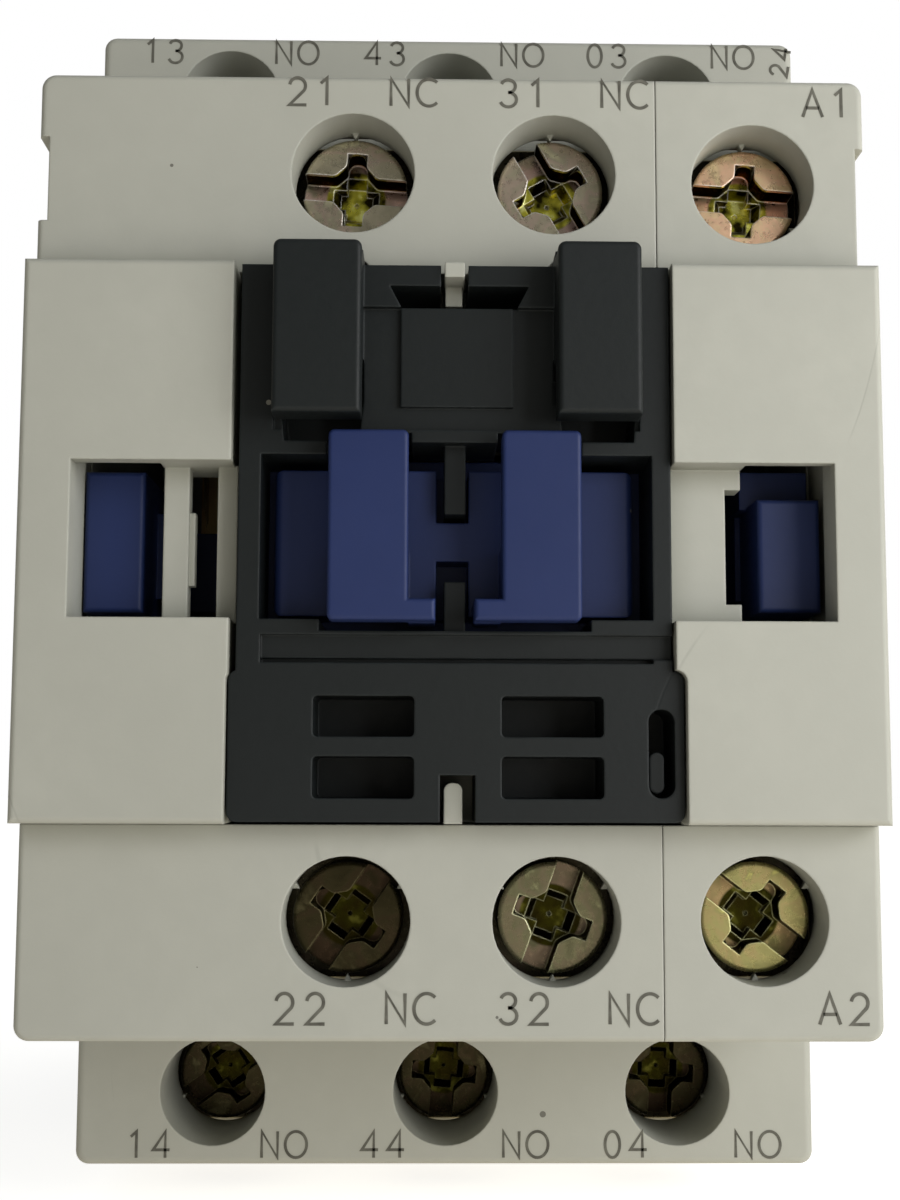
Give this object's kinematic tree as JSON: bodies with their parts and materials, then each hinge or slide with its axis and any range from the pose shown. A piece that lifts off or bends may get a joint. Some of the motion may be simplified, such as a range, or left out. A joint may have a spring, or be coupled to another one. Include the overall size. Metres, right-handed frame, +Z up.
{
  "type": "control relay",
  "caption": "Electromagnetic control relay for a 35 mm rail, with screw terminals in stepped tiers, a black front guide with hooks and a blue moving carrier.",
  "frame": {"origin": "centre of the mounting rail on the back plane", "axes": "+X to the right seen from the front, +Y towards the rail, +Z up; the front faces -Y"},
  "size_m": [0.045, 0.084, 0.077],
  "materials": {
    "base_plastic": "dark grey moulded thermoplastic, fine matt texture",
    "housing_plastic": "light grey moulded thermoplastic, fine matt texture",
    "insert_plastic": "black moulded thermoplastic, fine matt texture",
    "carrier_plastic": "dark blue moulded thermoplastic, slightly satin",
    "core_steel": "stacked electrical steel sheets",
    "copper": "bare copper",
    "rubber": "matt black rubber",
    "bobbin_plastic": "glass-filled nylon, off-white",
    "winding": "enamelled copper wire",
    "terminal_brass": "stamped brass strip",
    "silver": "silver alloy contact tips",
    "spring_steel": "bright drawn spring wire",
    "zinc_steel": "zinc plated steel, yellow iridescent passivate"
  },
  "bodies": {
    "housing": {"base_housing": "base_plastic", "break_fixed_tips": "silver", "break_strips_bottom": "terminal_brass", "break_strips_top": "terminal_brass", "coil_bobbin": "bobbin_plastic", "coil_terminal_a1": "terminal_brass", "coil_terminal_a2": "terminal_brass", "coil_terminal_cap_bottom": "housing_plastic", "coil_terminal_cap_top": "housing_plastic", "coil_winding": "winding", "contact_housing": "housing_plastic", "core_pad": "rubber", "fixed_core": "core_steel", "front_cover": "housing_plastic", "front_insert": "insert_plastic", "make_fixed_tips": "silver", "make_strips_bottom": "terminal_brass", "make_strips_top": "terminal_brass", "return_springs": "spring_steel", "shading_rings": "copper", "terminal_housing": "housing_plastic"},
    "carrier": {"carrier": "carrier_plastic", "armature": "core_steel", "armature_pin": "spring_steel", "make_springs": "spring_steel", "break_springs": "spring_steel"},
    "rail_foot": {"din_foot": "base_plastic", "din_foot_spring": "spring_steel"},
    "make_bridge_left": {"make_bridge_left": "terminal_brass"},
    "make_bridge_centre": {"make_bridge_centre": "terminal_brass"},
    "make_bridge_right": {"make_bridge_right": "terminal_brass"},
    "break_bridge_left": {"break_bridge_left": "terminal_brass"},
    "break_bridge_right": {"break_bridge_right": "terminal_brass"},
    "clamp_13": {"washer_13": "zinc_steel"},
    "screw_13": {"screw_13": "zinc_steel"},
    "clamp_43": {"washer_43": "zinc_steel"},
    "screw_43": {"screw_43": "zinc_steel"},
    "clamp_03": {"washer_03": "zinc_steel"},
    "screw_03": {"screw_03": "zinc_steel"},
    "clamp_14": {"washer_14": "zinc_steel"},
    "screw_14": {"screw_14": "zinc_steel"},
    "clamp_44": {"washer_44": "zinc_steel"},
    "screw_44": {"screw_44": "zinc_steel"},
    "clamp_04": {"washer_04": "zinc_steel"},
    "screw_04": {"screw_04": "zinc_steel"},
    "clamp_21": {"washer_21": "zinc_steel"},
    "screw_21": {"screw_21": "zinc_steel"},
    "clamp_31": {"washer_31": "zinc_steel"},
    "screw_31": {"screw_31": "zinc_steel"},
    "clamp_22": {"washer_22": "zinc_steel"},
    "screw_22": {"screw_22": "zinc_steel"},
    "clamp_32": {"washer_32": "zinc_steel"},
    "screw_32": {"screw_32": "zinc_steel"},
    "clamp_a1": {"washer_a1": "zinc_steel"},
    "screw_a1": {"screw_a1": "zinc_steel"},
    "clamp_a2": {"washer_a2": "zinc_steel"},
    "screw_a2": {"screw_a2": "zinc_steel"}
  },
  "joints": [
    {"name": "carrier_slide", "type": "slide", "parent": "housing", "child": "carrier", "axis": [0, 1, 0], "range_m": [0, 0.0045], "stiffness_N_per_m": 600, "springref_m": -0.004, "deforming": ["return_springs", "make_springs", "break_springs"]},
    {"name": "make_bridge_left_slide", "type": "slide", "parent": "carrier", "child": "make_bridge_left", "axis": [0, 1, 0], "range_m": [-0.0018, 0]},
    {"name": "make_bridge_centre_slide", "type": "slide", "parent": "carrier", "child": "make_bridge_centre", "axis": [0, 1, 0], "range_m": [-0.0018, 0]},
    {"name": "make_bridge_right_slide", "type": "slide", "parent": "carrier", "child": "make_bridge_right", "axis": [0, 1, 0], "range_m": [-0.0018, 0]},
    {"name": "break_bridge_left_slide", "type": "slide", "parent": "carrier", "child": "break_bridge_left", "axis": [0, 1, 0], "range_m": [-0.0018, 0]},
    {"name": "break_bridge_right_slide", "type": "slide", "parent": "carrier", "child": "break_bridge_right", "axis": [0, 1, 0], "range_m": [-0.0018, 0]},
    {"name": "rail_foot_slide", "type": "slide", "parent": "housing", "child": "rail_foot", "axis": [0, 0, -1], "range_m": [0, 0.004], "stiffness_N_per_m": 400, "springref_m": -0.003, "deforming": ["din_foot_spring"]},
    {"name": "screw_13_lift", "type": "slide", "parent": "housing", "child": "clamp_13", "axis": [0, -1, 0], "range_m": [0, 0.0021]},
    {"name": "screw_13_turn", "type": "hinge", "parent": "clamp_13", "child": "screw_13", "pos_m": [-0.0142, -0.0559, 0.0316], "axis": [0, -1, 0], "range_deg": [0, 1260]},
    {"name": "screw_43_lift", "type": "slide", "parent": "housing", "child": "clamp_43", "axis": [0, -1, 0], "range_m": [0, 0.0021]},
    {"name": "screw_43_turn", "type": "hinge", "parent": "clamp_43", "child": "screw_43", "pos_m": [0, -0.0559, 0.0316], "axis": [0, -1, 0], "range_deg": [0, 1260]},
    {"name": "screw_03_lift", "type": "slide", "parent": "housing", "child": "clamp_03", "axis": [0, -1, 0], "range_m": [0, 0.0021]},
    {"name": "screw_03_turn", "type": "hinge", "parent": "clamp_03", "child": "screw_03", "pos_m": [0.0142, -0.0559, 0.0316], "axis": [0, -1, 0], "range_deg": [0, 1260]},
    {"name": "screw_14_lift", "type": "slide", "parent": "housing", "child": "clamp_14", "axis": [0, -1, 0], "range_m": [0, 0.0021]},
    {"name": "screw_14_turn", "type": "hinge", "parent": "clamp_14", "child": "screw_14", "pos_m": [-0.0142, -0.0559, -0.0314], "axis": [0, -1, 0], "range_deg": [0, 1260]},
    {"name": "screw_44_lift", "type": "slide", "parent": "housing", "child": "clamp_44", "axis": [0, -1, 0], "range_m": [0, 0.0021]},
    {"name": "screw_44_turn", "type": "hinge", "parent": "clamp_44", "child": "screw_44", "pos_m": [0, -0.0559, -0.0314], "axis": [0, -1, 0], "range_deg": [0, 1260]},
    {"name": "screw_04_lift", "type": "slide", "parent": "housing", "child": "clamp_04", "axis": [0, -1, 0], "range_m": [0, 0.0021]},
    {"name": "screw_04_turn", "type": "hinge", "parent": "clamp_04", "child": "screw_04", "pos_m": [0.0142, -0.0559, -0.0314], "axis": [0, -1, 0], "range_deg": [0, 1260]},
    {"name": "screw_21_lift", "type": "slide", "parent": "housing", "child": "clamp_21", "axis": [0, -1, 0], "range_m": [0, 0.0021]},
    {"name": "screw_21_turn", "type": "hinge", "parent": "clamp_21", "child": "screw_21", "pos_m": [-0.00545, -0.0767, 0.0204], "axis": [0, -1, 0], "range_deg": [0, 1260]},
    {"name": "screw_31_lift", "type": "slide", "parent": "housing", "child": "clamp_31", "axis": [0, -1, 0], "range_m": [0, 0.0021]},
    {"name": "screw_31_turn", "type": "hinge", "parent": "clamp_31", "child": "screw_31", "pos_m": [0.0055, -0.0767, 0.0204], "axis": [0, -1, 0], "range_deg": [0, 1260]},
    {"name": "screw_22_lift", "type": "slide", "parent": "housing", "child": "clamp_22", "axis": [0, -1, 0], "range_m": [0, 0.0021]},
    {"name": "screw_22_turn", "type": "hinge", "parent": "clamp_22", "child": "screw_22", "pos_m": [-0.00545, -0.0767, -0.01975], "axis": [0, -1, 0], "range_deg": [0, 1260]},
    {"name": "screw_32_lift", "type": "slide", "parent": "housing", "child": "clamp_32", "axis": [0, -1, 0], "range_m": [0, 0.0021]},
    {"name": "screw_32_turn", "type": "hinge", "parent": "clamp_32", "child": "screw_32", "pos_m": [0.0055, -0.0767, -0.01975], "axis": [0, -1, 0], "range_deg": [0, 1260]},
    {"name": "screw_a1_lift", "type": "slide", "parent": "housing", "child": "clamp_a1", "axis": [0, -1, 0], "range_m": [0, 0.0021]},
    {"name": "screw_a1_turn", "type": "hinge", "parent": "clamp_a1", "child": "screw_a1", "pos_m": [0.01635, -0.0767, 0.01995], "axis": [0, -1, 0], "range_deg": [0, 1260]},
    {"name": "screw_a2_lift", "type": "slide", "parent": "housing", "child": "clamp_a2", "axis": [0, -1, 0], "range_m": [0, 0.0021]},
    {"name": "screw_a2_turn", "type": "hinge", "parent": "clamp_a2", "child": "screw_a2", "pos_m": [0.01635, -0.0767, -0.0197], "axis": [0, -1, 0], "range_deg": [0, 1260]}
  ],
  "couplings": [
    {"joint": "make_bridge_left_slide", "follows": "carrier_slide", "ratio": -0.4},
    {"joint": "make_bridge_centre_slide", "follows": "carrier_slide", "ratio": -0.4},
    {"joint": "make_bridge_right_slide", "follows": "carrier_slide", "ratio": -0.4},
    {"joint": "break_bridge_left_slide", "follows": "carrier_slide", "ratio": -0.4},
    {"joint": "break_bridge_right_slide", "follows": "carrier_slide", "ratio": -0.4},
    {"joint": "screw_13_turn", "follows": "screw_13_lift", "rad_per_m": 10472},
    {"joint": "screw_43_turn", "follows": "screw_43_lift", "rad_per_m": 10472},
    {"joint": "screw_03_turn", "follows": "screw_03_lift", "rad_per_m": 10472},
    {"joint": "screw_14_turn", "follows": "screw_14_lift", "rad_per_m": 10472},
    {"joint": "screw_44_turn", "follows": "screw_44_lift", "rad_per_m": 10472},
    {"joint": "screw_04_turn", "follows": "screw_04_lift", "rad_per_m": 10472},
    {"joint": "screw_21_turn", "follows": "screw_21_lift", "rad_per_m": 10472},
    {"joint": "screw_31_turn", "follows": "screw_31_lift", "rad_per_m": 10472},
    {"joint": "screw_22_turn", "follows": "screw_22_lift", "rad_per_m": 10472},
    {"joint": "screw_32_turn", "follows": "screw_32_lift", "rad_per_m": 10472},
    {"joint": "screw_a1_turn", "follows": "screw_a1_lift", "rad_per_m": 10472},
    {"joint": "screw_a2_turn", "follows": "screw_a2_lift", "rad_per_m": 10472}
  ]
}
